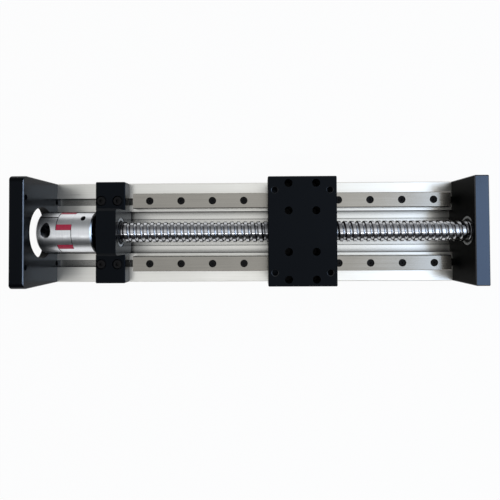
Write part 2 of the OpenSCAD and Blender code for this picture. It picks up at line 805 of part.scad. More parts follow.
base_profile();
motor_plate();
end_plate();
motor_plate_screws();
end_plate_screws();
rail_front();
rail_back();
rail_front_screws();
rail_back_screws();
rail_front_nut_strip();
rail_back_nut_strip();
bearing_housing();
housing_screws();
housing_slot_nuts();
fixed_bearing_outer_rings();
fixed_bearing_shields();
end_bearing_outer_ring();
end_bearing_shields();
ball_screw();
fixed_bearing_inner_rings();
fixed_bearing_balls();
lock_nut();
end_bearing_inner_ring();
end_bearing_balls();
end_circlip();
coupling_screw_hub();
coupling_spider();
coupling_motor_hub();
coupling_clamp_screws();
carriage_body();
ball_nut();
nut_wipers();
nut_set_screws();
rail_block_front();
rail_block_back();
block_end_caps_front();
block_end_caps_back();
block_end_seals_front();
block_end_seals_back();
block_screws();
grease_nipples();
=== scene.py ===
"""Looks of a ball screw linear module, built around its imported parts.

Everything is in metres in the parts' own frame: +X runs along the screw from the motor
plate to the end plate, +Y goes across the base and +Z is up.
"""

import json
import logging
import math
from dataclasses import dataclass
from enum import Enum
from typing import Callable

import bmesh
import bpy
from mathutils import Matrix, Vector

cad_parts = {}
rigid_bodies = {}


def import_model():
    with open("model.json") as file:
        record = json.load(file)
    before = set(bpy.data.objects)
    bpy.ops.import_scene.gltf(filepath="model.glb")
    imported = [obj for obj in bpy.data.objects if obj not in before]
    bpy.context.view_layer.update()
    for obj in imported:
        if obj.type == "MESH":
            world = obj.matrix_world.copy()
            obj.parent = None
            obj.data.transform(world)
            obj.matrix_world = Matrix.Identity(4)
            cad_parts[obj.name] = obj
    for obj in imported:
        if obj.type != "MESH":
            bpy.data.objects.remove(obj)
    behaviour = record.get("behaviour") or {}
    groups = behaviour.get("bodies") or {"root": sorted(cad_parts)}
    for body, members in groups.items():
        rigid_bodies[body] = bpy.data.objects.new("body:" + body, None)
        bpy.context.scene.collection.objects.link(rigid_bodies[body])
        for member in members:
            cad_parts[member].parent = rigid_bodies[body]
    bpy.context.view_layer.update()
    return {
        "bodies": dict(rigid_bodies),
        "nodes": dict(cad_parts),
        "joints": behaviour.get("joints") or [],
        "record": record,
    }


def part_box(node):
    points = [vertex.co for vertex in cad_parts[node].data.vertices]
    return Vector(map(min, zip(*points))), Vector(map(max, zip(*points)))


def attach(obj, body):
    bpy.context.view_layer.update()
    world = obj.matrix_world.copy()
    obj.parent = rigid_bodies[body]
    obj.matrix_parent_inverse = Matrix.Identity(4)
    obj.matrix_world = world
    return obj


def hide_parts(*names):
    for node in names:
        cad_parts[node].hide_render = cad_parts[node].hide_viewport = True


LOG = logging.getLogger("linear_module")
MM = 0.001
# Height of the screw's axis above the underside of the base
AXIS_Z = 46 * MM
# Least part of a face's normal along an axis, for a face square to it and for one that leans to it
SQUARE = 0.95
LEANING = 0.5
# Greatest part of the normal along an axis, for a face that runs along it
ALONGSIDE = 0.1

FaceTest = Callable[[bmesh.types.BMFace], bool]


class Side(Enum):
    """The two long sides of the module."""

    FRONT = -1
    BACK = 1


class Grain(Enum):
    """Direction of a drawn, ground or turned grain, as grains per metre along X, Y and Z.

    Real grains are narrower: these are as wide as they have to be to show.
    """

    ALONG_X = (12.0, 1400.0, 1400.0)
    AROUND_X = (1600.0, 30.0, 30.0)
    NONE = (600.0, 600.0, 600.0)


# ---- Colour and node helpers ----


def srgb(code: str) -> tuple[float, float, float, float]:
    """Turns an sRGB hex colour into linear RGBA.

    Args:
        code: Colour as "#RRGGBB".

    Returns:
        Linear red, green, blue and an alpha of 1.
    """
    channels = [int(code[i : i + 2], 16) / 255 for i in (1, 3, 5)]
    linear = [c / 12.92 if c <= 0.04045 else ((c + 0.055) / 1.055) ** 2.4 for c in channels]
    return (linear[0], linear[1], linear[2], 1.0)


def add_node(
    tree: bpy.types.NodeTree, kind: str, settings: dict | None = None, links: dict | None = None
) -> bpy.types.Node:
    """Adds a node with its settings and its inputs.

    Args:
        tree: Node tree of a material or of the world.
        kind: Type name of the node.
        settings: Attribute names and values of the node.
        links: Input names or numbers, with a socket to link or a value to set.

    Returns:
        The new node.
    """
    node = tree.nodes.new(kind)
    for name, value in (settings or {}).items():
        setattr(node, name, value)
    for name, value in (links or {}).items():
        if isinstance(value, bpy.types.NodeSocket):
            tree.links.new(value, node.inputs[name])
        else:
            node.inputs[name].default_value = value
    return node


# Slow clouds over every finish: how many to the metre, and how much they count beside the grain
CLOUDS_PER_METRE = 45.0
CLOUD_SHARE = 0.35
# Noise between which tone and roughness run from one end to the other
TONE_SPAN = (0.3, 0.7)
RELIEF_STRENGTH = 0.6
# Cosine between the rounded and the flat normal where wear starts and where it is full
EDGE_SPAN = (0.99, 0.8)
# Clouds between which the wear grows, and the least of it
WEAR_SPAN = (0.35, 0.7)
LEAST_WEAR = 0.25


@dataclass(frozen=True)
class Finish:
    """A surface finish with its grain, its worn edges, and painted shade in its corners.

    Attributes:
        name: Name of the material.
        colour: Main colour as sRGB hex.
        shade: Colour of the darker grains as sRGB hex.
        metallic: 1 for bare metal, 0 for the rest.
        roughness: Middle roughness.
        roughness_spread: How far the roughness goes up and down from it.
        grain: Direction of the grain.
        grain_scale: How many times finer the grain is than its direction gives.
        relief_mm: Height of the grain.
        specular: Strength of the reflection off a surface that isn't metal.
        specular_tint: Colour of that reflection as sRGB hex.
        painted_shade: How much of the colour is lost to painted shade deep in a corner, from 0 to 1.
        painted_shade_reach_mm: How far the painted shade looks for what closes a place in.
        painted_shade_span: Openness, from 0 to 1, at which the painted shade is darkest and at which
            it ends.
        painted_shade_alone: Whether only the piece's own shape casts painted shade, and no neighbour.
        worn_colour: Colour of the worn edges as sRGB hex, or nothing where none are worn.
        worn_mm: Width of the worn edges.
    """

    name: str
    colour: str
    shade: str
    metallic: float
    roughness: float
    roughness_spread: float
    grain: Grain
    grain_scale: float
    relief_mm: float
    specular: float = 0.5
    specular_tint: str = "#FFFFFF"
    # Painted shade in corners, made with ambient occlusion
    painted_shade: float = 0.0
    painted_shade_reach_mm: float = 3.0
    painted_shade_span: tuple[float, float] = (0.25, 0.9)
    painted_shade_alone: bool = True
    worn_colour: str = ""
    worn_mm: float = 0.2

    def streaks(self, tree: bpy.types.NodeTree, place: bpy.types.NodeSocket) -> bpy.types.NodeSocket:
        """Adds the fine grain.

        Args:
            tree: Node tree of the material.
            place: Object coordinates.

        Returns:
            The grain, from 0 to 1.
        """
        stretch = add_node(
            tree, "ShaderNodeMapping", links={"Vector": place, "Scale": self.grain.value}
        )
        return add_node(
            tree,
            "ShaderNodeTexNoise",
            links={"Vector": stretch.outputs[0], "Scale": self.grain_scale, "Detail": 5.0},
        ).outputs[0]

    def with_painted_shade(
        self, tree: bpy.types.NodeTree, colour: bpy.types.NodeSocket
    ) -> bpy.types.NodeSocket:
        """Paints shade into a colour where the piece, or its neighbours too, close it in.

        Args:
            tree: Node tree of the material.
            colour: Colour of the open surface.

        Returns:
            The colour with painted shade in its corners.
        """
        hollow = add_node(
            tree,
            "ShaderNodeAmbientOcclusion",
            {"samples": 8, "only_local": self.painted_shade_alone},
            {"Distance": self.painted_shade_reach_mm * MM},
        )
        light = add_node(
            tree,
            "ShaderNodeMapRange",
            links={
                "Value": hollow.outputs["AO"],
                "From Min": self.painted_shade_span[0],
                "From Max": self.painted_shade_span[1],
                "To Min": 1 - self.painted_shade,
            },
        )
        return add_node(
            tree,
            "ShaderNodeMix",
            {"data_type": "RGBA", "blend_type": "MULTIPLY"},
            {0: 1.0, 6: colour, 7: light.outputs[0]},
        ).outputs[2]

    def worn(
        self,
        tree: bpy.types.NodeTree,
        colour: bpy.types.NodeSocket,
        patches: bpy.types.NodeSocket,
    ) -> bpy.types.NodeSocket:
        """Rubs the colour off along sharp edges, in patches.

        Args:
            tree: Node tree of the material.
            colour: Colour of the flat surface.
            patches: Slow noise that says where the edge is rubbed most.

        Returns:
            The colour with its worn edges.
        """
        rounded = add_node(
            tree, "ShaderNodeBevel", {"samples": 6}, {"Radius": self.worn_mm * MM}
        )
        flat = add_node(tree, "ShaderNodeNewGeometry")
        bend = add_node(
            tree,
            "ShaderNodeVectorMath",
            {"operation": "DOT_PRODUCT"},
            {0: rounded.outputs[0], 1: flat.outputs["True Normal"]},
        )
        edge = add_node(
            tree,
            "ShaderNodeMapRange",
            links={
                "Value": bend.outputs["Value"],
                "From Min": EDGE_SPAN[0],
                "From Max": EDGE_SPAN[1],
            },
        )
        rubbed = add_node(
            tree,
            "ShaderNodeMapRange",
            links={
                "Value": patches,
                "From Min": WEAR_SPAN[0],
                "From Max": WEAR_SPAN[1],
                "To Min": LEAST_WEAR,
            },
        )
        share = add_node(
            tree,
            "ShaderNodeMath",
            {"operation": "MULTIPLY"},
            {0: edge.outputs[0], 1: rubbed.outputs[0]},
        )
        return add_node(
            tree,
            "ShaderNodeMix",
            {"data_type": "RGBA"},
            {0: share.outputs[0], 6: colour, 7: srgb(self.worn_colour)},
        ).outputs[2]

    def material(self) -> bpy.types.Material:
        """Makes the material of this finish, the first time that it is asked for.

        Returns:
            The material.
        """
        found = bpy.data.materials.get(self.name)
        if found:
            return found
        material = bpy.data.materials.new(self.name)
        material.use_nodes = True
        tree = material.node_tree
        shader = tree.nodes["Principled BSDF"]
        place = add_node(tree, "ShaderNodeTexCoord").outputs["Object"]
        streaks = self.streaks(tree, place)
        cloud = add_node(
            tree,
            "ShaderNodeTexNoise",
            links={"Vector": place, "Scale": CLOUDS_PER_METRE, "Detail": 3.0},
        ).outputs[0]
        mixed = add_node(
            tree, "ShaderNodeMix", {"data_type": "FLOAT"}, {0: CLOUD_SHARE, 2: streaks, 3: cloud}
        ).outputs[0]
        tone = add_node(
            tree,
            "ShaderNodeMapRange",
            links={"Value": mixed, "From Min": TONE_SPAN[0], "From Max": TONE_SPAN[1]},
        )
        colour = add_node(
            tree,
            "ShaderNodeMix",
            {"data_type": "RGBA"},
            {0: tone.outputs[0], 6: srgb(self.shade), 7: srgb(self.colour)},
        ).outputs[2]
        # Painted shade: the colour darkens where ambient occlusion finds the surface closed in
        if self.painted_shade:
            colour = self.with_painted_shade(tree, colour)
        if self.worn_colour:
            colour = self.worn(tree, colour, cloud)
        gloss = add_node(
            tree,
            "ShaderNodeMapRange",
            links={
                "Value": mixed,
                "From Min": TONE_SPAN[0],
                "From Max": TONE_SPAN[1],
                "To Min": self.roughness - self.roughness_spread,
                "To Max": self.roughness + self.roughness_spread,
            },
        )
        relief = add_node(
            tree,
            "ShaderNodeBump",
            links={
                "Height": streaks,
                "Distance": self.relief_mm * MM,
                "Strength": RELIEF_STRENGTH,
            },
        )
        tree.links.new(colour, shader.inputs["Base Color"])
        tree.links.new(gloss.outputs[0], shader.inputs["Roughness"])
        tree.links.new(relief.outputs[0], shader.inputs["Normal"])
        shader.inputs["Metallic"].default_value = self.metallic
        shader.inputs["Specular IOR Level"].default_value = self.specular
        shader.inputs["Specular Tint"].default_value = srgb(self.specular_tint)
        return material


# Clear anodised extrusion: pale and bright, with die lines along the base, and painted shade that
# darkens its slots and channel
EXTRUSION = Finish(
    "clear_anodised_extrusion", "#ECEBE6", "#DDDCD6", 1.0, 0.31, 0.04, Grain.ALONG_X, 1.0, 0.005,
    painted_shade=0.96, painted_shade_reach_mm=7.0, painted_shade_span=(0.44, 0.9),
)
# Black anodised aluminium: near black from above, with a cool sheen at low angles
BLACK_ANODISED = Finish(
    "black_anodised_aluminium", "#0C0D0F", "#08090A", 0.0, 0.2, 0.04, Grain.NONE, 3.0, 0.003,
    specular=0.08, specular_tint="#D0E4FF", worn_colour="#3C4046", worn_mm=0.25,
)
# Glossier black for the top of the end plate: it mirrors the room as slate blue
POLISHED_BLACK = Finish(
    "polished_black_anodising", "#0E1013", "#090A0C", 0.0, 0.2, 0.04, Grain.NONE, 3.0, 0.002,
    specular=0.7, specular_tint="#CFE3FF", worn_colour="#3C4046", worn_mm=0.25,
)
# Bare aluminium of the plates' inner top chamfers and the corner countersinks: thin light lines
CUT_CHAMFER = Finish(
    "cut_aluminium_chamfer", "#6C6D70", "#525356", 1.0, 0.32, 0.06, Grain.NONE, 2.0, 0.004
)
# Matt black of the bores and of the end plate's inner face: hardly any sheen, so it stays dark
BLACK_BORE = Finish(
    "matt_black_bore", "#08090A", "#050606", 0.0, 0.5, 0.05, Grain.NONE, 3.0, 0.004, 0.03
)
# Surface ground bearing steel: warm grey with grinding lines along the rail, and painted shade in its
# corners
GROUND_RAIL = Finish(
    "ground_rail_steel", "#9C9992", "#8C8983", 1.0, 0.22, 0.04, Grain.ALONG_X, 1.3, 0.004,
    painted_shade=0.6, painted_shade_reach_mm=2.0,
)
# Ground and polished thread: bright lands, with painted shade in the grooves and on the flanks that
# face the base and rails, from the screw and its neighbours up to 45 mm away
SCREW_STEEL = Finish(
    "polished_screw_steel", "#CBCCCF", "#B3B5B9", 1.0, 0.13, 0.04, Grain.AROUND_X, 1.0, 0.002,
    painted_shade=0.9, painted_shade_reach_mm=45.0, painted_shade_span=(0.45, 0.86), painted_shade_alone=False,
)
# Satin bearing rings and balls: lighter than the black faces around them, with painted shade in their
# corners
BEARING_STEEL = Finish(
    "polished_bearing_steel", "#A6A8AB", "#909295", 1.0, 0.3, 0.03, Grain.AROUND_X, 1.0, 0.001,
    painted_shade=0.6, painted_shade_reach_mm=1.0,
)
# Ground steel of blocks and nut: neutral grey, finer than the rails, with painted shade in its
# corners
GROUND_BLOCK = Finish(
    "ground_block_steel", "#BFC0C2", "#A8AAAD", 1.0, 0.3, 0.05, Grain.ALONG_X, 1.6, 0.003,
    painted_shade=0.6,
)
# Zinc plated steel: soft light grey with a faint blue tone
ZINC_PLATE = Finish(
    "zinc_plated_steel", "#8F9498", "#7A7F83", 1.0, 0.4, 0.06, Grain.NONE, 2.0, 0.004
)
# Turned aluminium, satin: fine tool rings around the coupling, with painted shade in the slits and
# pockets and on the sides that face the base, from neighbours up to 45 mm away
TURNED_ALUMINIUM = Finish(
    "turned_aluminium", "#F2F4F6", "#E2E5E9", 1.0, 0.34, 0.04, Grain.AROUND_X, 1.4, 0.005,
    painted_shade=0.94, painted_shade_reach_mm=45.0, painted_shade_span=(0.5, 0.84), painted_shade_alone=False,
)
# Moulded polyurethane: strong red, slightly glossy, with a rubbery depth, and painted shade in its
# corners
POLYURETHANE = Finish(
    "moulded_polyurethane", "#BE2E4A", "#A5243C", 0.0, 0.4, 0.05, Grain.NONE, 1.0, 0.004, 0.4,
    painted_shade=0.5, painted_shade_reach_mm=1.5,
)
# Black oxide steel of the socket screws: nearly black, with faintly rubbed edges and painted shade in
# the sockets
BLACK_OXIDE = Finish(
    "oiled_black_oxide", "#0F0F11", "#060607", 0.0, 0.42, 0.06, Grain.NONE, 2.4, 0.004, 0.14,
    painted_shade=0.8, painted_shade_reach_mm=1.5, worn_colour="#2C2D30", worn_mm=0.12,
)
# Moulded nylon of end caps and wipers: dark with a fine spark-eroded grain
MOULDED_NYLON = Finish(
    "moulded_black_nylon", "#202224", "#17191B", 0.0, 0.5, 0.06, Grain.NONE, 3.0, 0.01, 0.35
)
# Nitrile rubber of seals and shields: matt and even
NITRILE = Finish("nitrile_rubber", "#1A1A1C", "#131314", 0.0, 0.62, 0.05, Grain.NONE, 2.0, 0.006, 0.3)
# Turned brass of the grease nipples: warm and bright
BRASS = Finish("turned_brass", "#C9A455", "#AD8A42", 1.0, 0.25, 0.05, Grain.AROUND_X, 1.0, 0.002)


# ---- Modelling helpers ----

# Points closer than this are one, and faces that bend less than this are one
MERGE_MM = 0.004
FLAT_ANGLE = math.radians(1)
# Edges that bend more than the first are rounded, and those under the second are shaded smooth
SHARP_ANGLE = math.radians(40)
SMOOTH_ANGLE = math.radians(35)


def clear_selection() -> None:
    """Leaves edit mode and deselects every object."""
    if bpy.context.object and bpy.context.object.mode != "OBJECT":
        bpy.ops.object.mode_set(mode="OBJECT")
    bpy.ops.object.select_all(action="DESELECT")


def activate(piece: bpy.types.Object) -> None:
    """Selects one object alone and makes it active.

    Args:
        piece: The object.
    """
    clear_selection()
    piece.select_set(True)
    bpy.context.view_layer.objects.active = piece


def pick(piece: bpy.types.Object, wanted: FaceTest) -> None:
    """Selects the faces of the mesh in edit mode that a test accepts.

    Args:
        piece: Object in edit mode.
        wanted: Test on a face.
    """
    bpy.ops.mesh.select_mode(type="FACE")
    bpy.ops.mesh.select_all(action="DESELECT")
    mesh = bmesh.from_edit_mesh(piece.data)
    for face in mesh.faces:
        face.select_set(wanted(face))
    bmesh.update_edit_mesh(piece.data)


def apply_modifier(piece: bpy.types.Object, kind: str, settings: dict) -> None:
    """Adds a modifier to a piece and applies it.

    Args:
        piece: Object that gets the modifier.
        kind: Type of the modifier.
        settings: Attribute names and values of the modifier.
    """
    activate(piece)
    modifier = piece.modifiers.new(kind.lower(), kind)
    for name, value in settings.items():
        setattr(modifier, name, value)
    bpy.ops.object.modifier_apply(modifier=modifier.name)


def hand_over(
    piece: bpy.types.Object, finish: Finish, body: str, slot: str, *nodes: str
) -> None:
    """Dresses a new piece and lets it stand for its nodes.

    Args:
        piece: New object with its place in its mesh.
        finish: Finish of the whole piece.
        body: Body that the piece moves with.
        slot: Material slot of the record; not used.
        nodes: Nodes that the piece replaces.
    """
    activate(piece)
    bpy.ops.object.transform_apply(location=True, rotation=True, scale=True)
    bpy.ops.object.shade_smooth_by_angle(angle=SMOOTH_ANGLE)
    apply_modifier(piece, "WEIGHTED_NORMAL", {"weight": 100, "keep_sharp": True})
    if not piece.data.materials:
        piece.data.materials.append(finish.material())
    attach(piece, body)
    if nodes:
        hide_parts(*nodes)
    LOG.info("%s: %d faces on %s", piece.name, len(piece.data.polygons), body)


def dress(frame: dict, finish: Finish, *names: str) -> None:
    """Gives nodes that keep their own shape a finish.

    Args:
        frame: The loaded frame.
        finish: Finish for all of them.
        names: Names of the nodes.
    """
    for name in names:
        node = frame["nodes"][name]
        if not node.material_slots:
            node.data.materials.append(None)
        for slot in node.material_slots:
            slot.material = finish.material()
        LOG.info("%s: %s", name, finish.name)


def swell(piece: bpy.types.Object, height: float, wanted: FaceTest) -> None:
    """Pushes some faces of a piece outwards.

    Args:
        piece: The piece.
        height: How far they move, in metres.
        wanted: Test on a face.
    """
    activate(piece)
    bpy.ops.object.mode_set(mode="EDIT")
    pick(piece, wanted)
    bpy.ops.transform.shrink_fatten(value=height)
    bpy.ops.object.mode_set(mode="OBJECT")


def refinish(piece: bpy.types.Object, finish: Finish, wanted: FaceTest) -> None:
    """Gives some faces of a piece a finish of their own.

    Args:
        piece: The piece.
        finish: Finish of those faces.
        wanted: Test on a face.
    """
    activate(piece)
    piece.data.materials.append(finish.material())
    piece.active_material_index = len(piece.data.materials) - 1
    bpy.ops.object.mode_set(mode="EDIT")
    pick(piece, wanted)
    bpy.ops.object.material_slot_assign()
    bpy.ops.object.mode_set(mode="OBJECT")


def softened_copy(frame: dict, node: str, name: str, edge_mm: float) -> bpy.types.Object:
    """Copies a node and rounds its sharp edges a little.

    Args:
        frame: The loaded frame.
        node: Name of the node to copy.
        name: Name of the new piece.
        edge_mm: Width of the rounded edge.

    Returns:
        The copy, with its place in its mesh.
    """
    source = frame["nodes"][node]
    piece = bpy.data.objects.new(name, source.data.copy())
    piece.data.materials.clear()
    bpy.context.scene.collection.objects.link(piece)
    activate(piece)
    bpy.ops.object.mode_set(mode="EDIT")
    bpy.ops.mesh.select_all(action="SELECT")
    bpy.ops.mesh.remove_doubles(threshold=MERGE_MM * MM)
    bpy.ops.mesh.dissolve_limited(angle_limit=FLAT_ANGLE)
    bpy.ops.object.mode_set(mode="OBJECT")
    apply_modifier(
        piece,
        "BEVEL",
        {
            "width": edge_mm * MM,
            "segments": 2,
            "limit_method": "ANGLE",
            "angle_limit": SHARP_ANGLE,
            "use_clamp_overlap": True,
        },
    )
    return piece


# ---- Sub-assemblies ----


@dataclass
class BaseAndPlates:
    """Extruded base with the two plates and their screws.

    Attributes:
        frame: The loaded frame.
        edge_mm: Width of the rounded edges.
        bore_r: Radius within which a wall belongs to a bore.
    """

    frame: dict
    edge_mm: float = 0.15
    bore_r: float = 25.3 * MM

    def in_bore(self, face: bmesh.types.BMFace) -> bool:
        """Tells whether a face is the wall of the bore around the screw's axis.

        Args:
            face: Face of a plate.

        Returns:
            Whether it looks towards the axis from within the bore's radius.
        """
        centre = face.calc_center_median()
        out = (centre.y, centre.z - AXIS_Z)
        inwards = face.normal.y * out[0] + face.normal.z * out[1] < 0
        return inwards and abs(face.normal.x) < ALONGSIDE and math.hypot(*out) < self.bore_r

    def build(self) -> None:
        """Dresses the base and the screws, and makes both plates with their finishes."""
        dress(self.frame, EXTRUSION, "base_profile")
        for node, name, inwards in (
            ("motor_plate", "motor_mount_plate", 1),
            ("end_plate", "free_end_plate", -1),
        ):
            plate = softened_copy(self.frame, node, name, self.edge_mm)
            hand_over(plate, BLACK_ANODISED, "base", "black_anodised", node)
            refinish(
                plate,
                CUT_CHAMFER,
                lambda f: f.normal.x * inwards > LEANING and f.normal.z > LEANING,
            )
            refinish(plate, BLACK_BORE, self.in_bore)
            if node == "end_plate":
                refinish(plate, BLACK_BORE, lambda f: f.normal.x < -SQUARE)
                refinish(plate, POLISHED_BLACK, lambda f: f.normal.z > SQUARE)
        dress(self.frame, BLACK_OXIDE, "motor_plate_screws", "end_plate_screws")


@dataclass
class Rails:
    """Two profile rails, their screws and the nut strips under them."""

    frame: dict

    def build(self) -> None:
        """Dresses the rails on both sides."""
        for side in Side:
            name = side.name.lower()
            dress(self.frame, GROUND_RAIL, f"rail_{name}")
            dress(self.frame, BLACK_OXIDE, f"rail_{name}_screws")
            dress(self.frame, ZINC_PLATE, f"rail_{name}_nut_strip")


@dataclass
class Bearings:
    """Bearing housing at the motor end, and the bearings at both ends."""

    frame: dict
    edge_mm: float = 0.15

    def build(self) -> None:
        """Makes the housing and dresses its screws and the bearings."""
        housing = softened_copy(self.frame, "bearing_housing", "screw_bearing_housing", self.edge_mm)
        hand_over(housing, BLACK_ANODISED, "base", "black_anodised", "bearing_housing")
        dress(self.frame, BLACK_OXIDE, "housing_screws", "lock_nut", "end_circlip")
        dress(self.frame, ZINC_PLATE, "housing_slot_nuts")
        dress(self.frame, NITRILE, "fixed_bearing_shields", "end_bearing_shields")
        dress(
            self.frame,
            BEARING_STEEL,
            "fixed_bearing_outer_rings",
            "fixed_bearing_inner_rings",
            "fixed_bearing_balls",
            "end_bearing_outer_ring",
            "end_bearing_inner_ring",
            "end_bearing_balls",
        )


@dataclass
class BallScrew:
    """Screw with a right-handed ball thread and turned ends.

    Attributes:
        lead: Length of one turn of the thread.
        land_r: Radius over the lands.
        groove_half_w: Half the width of the groove.
        groove_depth: Depth of the groove.
        groove_facets: Flats that make up the arc of the groove.
        land_middle_x: Middle of a land, right above the axis.
        thread_start: Low end of the thread.
        thread_end: High end of the thread.
        steps: Steps in one turn.
        weld: Distance within which points are one.
        tip_x: Low end of the screw, in the coupling.
        lock_x: Low end of the stretch under the lock nut.
        seat_x: Low end of the bearing seat.
        shoulder_x: High end of the bearing seat.
        tip_r: Radius in the coupling.
        lock_r: Radius under the lock nut.
        seat_r: Radius of the bearing seats at both ends.
        free_length: Length of the shaft end at the free side.
        journal_edge: Width of the rounded edges of both shaft ends.
        journal_sides: Sides that make up a shaft end's round.
    """

    lead: float = 5 * MM
    land_r: float = 7.75 * MM
    groove_half_w: float = 1.45 * MM
    groove_depth: float = 1.15 * MM
    groove_facets: int = 9
    land_middle_x: float = -94.75 * MM
    thread_start: float = -97 * MM
    thread_end: float = 158.4 * MM
    steps: int = 48
    weld: float = 0.01 * MM
    tip_x: float = -131.9 * MM
    lock_x: float = -117.1 * MM
    seat_x: float = -112.0 * MM
    shoulder_x: float = -100.0 * MM
    tip_r: float = 4 * MM
    lock_r: float = 4.9 * MM
    seat_r: float = 5 * MM
    free_length: float = 10.1 * MM
    journal_edge: float = 0.15 * MM
    journal_sides: int = 64

    def profile(self) -> list[tuple[float, float]]:
        """Works out the outline of one turn, a land and then a groove.

        Returns:
            Points as (distance along the axis, radius).
        """
        land = self.lead - 2 * self.groove_half_w
        arc_r = (self.groove_half_w**2 + self.groove_depth**2) / (2 * self.groove_depth)
        points = [(-land / 2, self.land_r), (land / 2, self.land_r)]
        middle = self.lead / 2
        for i in range(1, self.groove_facets + 1):
            x = -self.groove_half_w + 2 * self.groove_half_w * i / self.groove_facets
            drop = math.sqrt(arc_r**2 - x**2) - (arc_r - self.groove_depth)
            points.append((middle + x, self.land_r - max(drop, 0.0)))
        return points

    def thread(self) -> bpy.types.Object:
        """Draws the outline of one turn, winds it along the axis and trims both ends.

        Returns:
            The thread, with its place in its mesh.
        """
        # The winding starts before the thread and ends past it, so that both ends can be trimmed
        turns_before, turns_over = 3, 2
        turns = math.ceil((self.thread_end - self.thread_start) / self.lead) + turns_over
        first = self.land_middle_x - turns_before * self.lead
        points = self.profile()
        clear_selection()
        bpy.ops.mesh.primitive_plane_add(size=MM, location=(0, 0, 0))
        piece = bpy.context.object
        piece.name = "ball_thread"
        bpy.ops.object.mode_set(mode="EDIT")
        bpy.ops.mesh.select_mode(type="VERT")
        bpy.ops.mesh.select_all(action="SELECT")
        bpy.ops.mesh.merge(type="CENTER")
        bpy.ops.transform.translate(value=(first + points[0][0], 0, points[0][1]))
        for (x0, r0), (x1, r1) in zip(points, points[1:]):
            bpy.ops.mesh.extrude_region_move(
                TRANSFORM_OT_translate={"value": (x1 - x0, 0, r1 - r0)}
            )
        bpy.ops.object.mode_set(mode="OBJECT")
        apply_modifier(
            piece,
            "SCREW",
            {
                "axis": "X",
                "angle": 2 * math.pi,
                "screw_offset": self.lead,
                "iterations": turns,
                "steps": self.steps,
                "render_steps": self.steps,
                "use_merge_vertices": False,
            },
        )
        bpy.ops.object.mode_set(mode="EDIT")
        bpy.ops.mesh.select_all(action="SELECT")
        bpy.ops.mesh.remove_doubles(threshold=self.weld)
        for x, outwards in ((self.thread_start, -1), (self.thread_end, 1)):
            bpy.ops.mesh.select_all(action="SELECT")
            bpy.ops.mesh.bisect(
                plane_co=(x, 0, 0), plane_no=(outwards, 0, 0), use_fill=True, clear_outer=True
            )
        bpy.ops.mesh.select_all(action="SELECT")
        bpy.ops.mesh.normals_make_consistent(inside=False)
        bpy.ops.transform.translate(value=(0, 0, AXIS_Z))
        bpy.ops.object.mode_set(mode="OBJECT")
        return piece

    def journal(
        self, name: str, start: float, steps: list[tuple[float, float]]
    ) -> bpy.types.Object:
        """Turns a stepped shaft end.

        Args:
            name: Name of the piece.
            start: Place of its low end along the axis.
            steps: (length, radius) of each step, from the low end to the high end.

        Returns:
            The piece, with its place in its mesh.
        """
        first_length, radius = steps[0]
        clear_selection()
        bpy.ops.mesh.primitive_cylinder_add(
            vertices=self.journal_sides,
            radius=radius,
            depth=first_length,
            location=(start + first_length / 2, 0, AXIS_Z),
            rotation=(0, math.pi / 2, 0),
        )
        piece = bpy.context.object
        piece.name = name
        bpy.ops.object.transform_apply(location=True, rotation=True, scale=True)
        bpy.ops.object.mode_set(mode="EDIT")
        for length, new_radius in steps[1:]:
            top = max(v.co.x for v in bmesh.from_edit_mesh(piece.data).verts)
            pick(
                piece,
                lambda f: f.normal.x > SQUARE and f.calc_center_median().x > top - self.weld,
            )
            scale = new_radius / radius
            bpy.ops.mesh.extrude_region_move()
            bpy.ops.transform.resize(value=(1, scale, scale), center_override=(0, 0, AXIS_Z))
            bpy.ops.mesh.extrude_region_move(TRANSFORM_OT_translate={"value": (length, 0, 0)})
            radius = new_radius
        bpy.ops.mesh.select_all(action="SELECT")
        bpy.ops.mesh.normals_make_consistent(inside=False)
        bpy.ops.object.mode_set(mode="OBJECT")
        apply_modifier(
            piece,
            "BEVEL",
            {"width": self.journal_edge, "segments": 2, "limit_method": "ANGLE"},
        )
        return piece

    def build(self) -> None:
        """Makes the thread and both shaft ends and lets them stand for the screw."""
        hand_over(self.thread(), SCREW_STEEL, "screw", "screw_steel", "ball_screw")
        motor_side = [
            (self.lock_x - self.tip_x, self.tip_r),
            (self.seat_x - self.lock_x, self.lock_r),
            (self.shoulder_x - self.seat_x, self.seat_r),
            (self.thread_start - self.shoulder_x, self.land_r),
        ]
        free_side = [(self.free_length, self.seat_r)]
        for name, start, steps in (
            ("motor_side_journal", self.tip_x, motor_side),
            ("free_side_journal", self.thread_end, free_side),
        ):
            hand_over(self.journal(name, start, steps), SCREW_STEEL, "screw", "screw_steel")


@dataclass
class JawCoupling:
    """Two clamp hubs with jaws, the spider between them and the clamp screws.

    Attributes:
        frame: The loaded frame.
        edge_mm: Width of the rounded edges.
        bulge: How far the legs are squeezed out.
        rim_share: Share of the radius from which a face is the outer end of a leg.
    """

    frame: dict
    edge_mm: float = 0.22
    bulge: float = 0.6 * MM
    rim_share: float = 0.81

    def build(self) -> None:
        """Makes softened hubs and a spider squeezed outwards, and dresses the clamp screws."""
        for node, name in (
            ("coupling_motor_hub", "motor_clamp_hub"),
            ("coupling_screw_hub", "screw_clamp_hub"),
        ):
            hub = softened_copy(self.frame, node, name, self.edge_mm)
            hand_over(hub, TURNED_ALUMINIUM, "screw", "coupling_aluminium", node)
        spider = softened_copy(self.frame, "coupling_spider", "elastic_spider", self.edge_mm)
        low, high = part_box("coupling_spider")
        middle = (low + high) / 2
        rim = self.rim_share * (high.z - low.z) / 2

        def is_leg_end(face: bmesh.types.BMFace) -> bool:
            """Tells whether a face is the outer end of a leg.

            Args:
                face: Face of the spider.

            Returns:
                Whether it looks outwards and lies near the rim.
            """
            out = face.calc_center_median() - middle
            outwards = out.y * face.normal.y + out.z * face.normal.z
            return abs(face.normal.x) < ALONGSIDE and outwards > rim

        swell(spider, self.bulge, is_leg_end)
        hand_over(spider, POLYURETHANE, "screw", "spider_polyurethane", "coupling_spider")
        dress(self.frame, BLACK_OXIDE, "coupling_clamp_screws")


